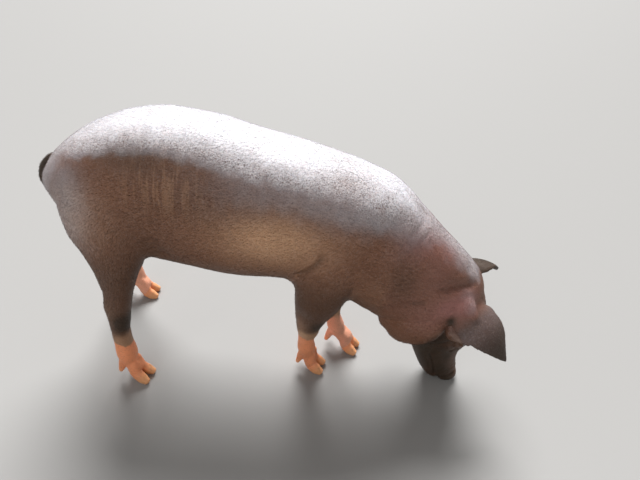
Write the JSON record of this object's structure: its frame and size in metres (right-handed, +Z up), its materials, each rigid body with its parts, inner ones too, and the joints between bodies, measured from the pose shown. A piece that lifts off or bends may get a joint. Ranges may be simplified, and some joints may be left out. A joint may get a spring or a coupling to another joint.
{
  "type": "pig",
  "caption": "Life-size standing domestic pig with a smooth dark hide and pale feet, its neck stretched down and its snout resting on the floor.",
  "frame": {"origin": "centre of the pig's outline on the floor", "axes": "+X from tail to head, +Y to the pig's left, +Z up from the floor"},
  "size_m": [1.2396, 0.3866, 0.7539],
  "materials": {
    "hide": "dark mauve-brown skin under fine short flat bristles",
    "ear_hide": "thin dark skin",
    "foot_hide": "bare orange-pink skin",
    "nose": "moist bare skin",
    "horn": "worn yellow-brown horn",
    "eye": "wet and glossy"
  },
  "bodies": {
    "root": {"trunk": "hide", "neck": "hide", "head": "hide", "jaw": "hide", "nose_disc": "nose", "ear_left": "ear_hide", "ear_right": "ear_hide", "eye_left": "eye", "eye_right": "eye", "tail": "hide", "foreleg_left": "hide", "foreleg_right": "hide", "hindleg_left": "hide", "hindleg_right": "hide", "trotter_fore_left": "foot_hide", "trotter_fore_right": "foot_hide", "trotter_hind_left": "foot_hide", "trotter_hind_right": "foot_hide", "hoof_fore_left_inner": "horn", "hoof_fore_left_outer": "horn", "hoof_fore_right_inner": "horn", "hoof_fore_right_outer": "horn", "hoof_hind_left_inner": "horn", "hoof_hind_left_outer": "horn", "hoof_hind_right_inner": "horn", "hoof_hind_right_outer": "horn", "dewclaw_fore_left_inner": "horn", "dewclaw_fore_left_outer": "horn", "dewclaw_fore_right_inner": "horn", "dewclaw_fore_right_outer": "horn", "dewclaw_hind_left_inner": "horn", "dewclaw_hind_left_outer": "horn", "dewclaw_hind_right_inner": "horn", "dewclaw_hind_right_outer": "horn"}
  },
  "joints": []
}
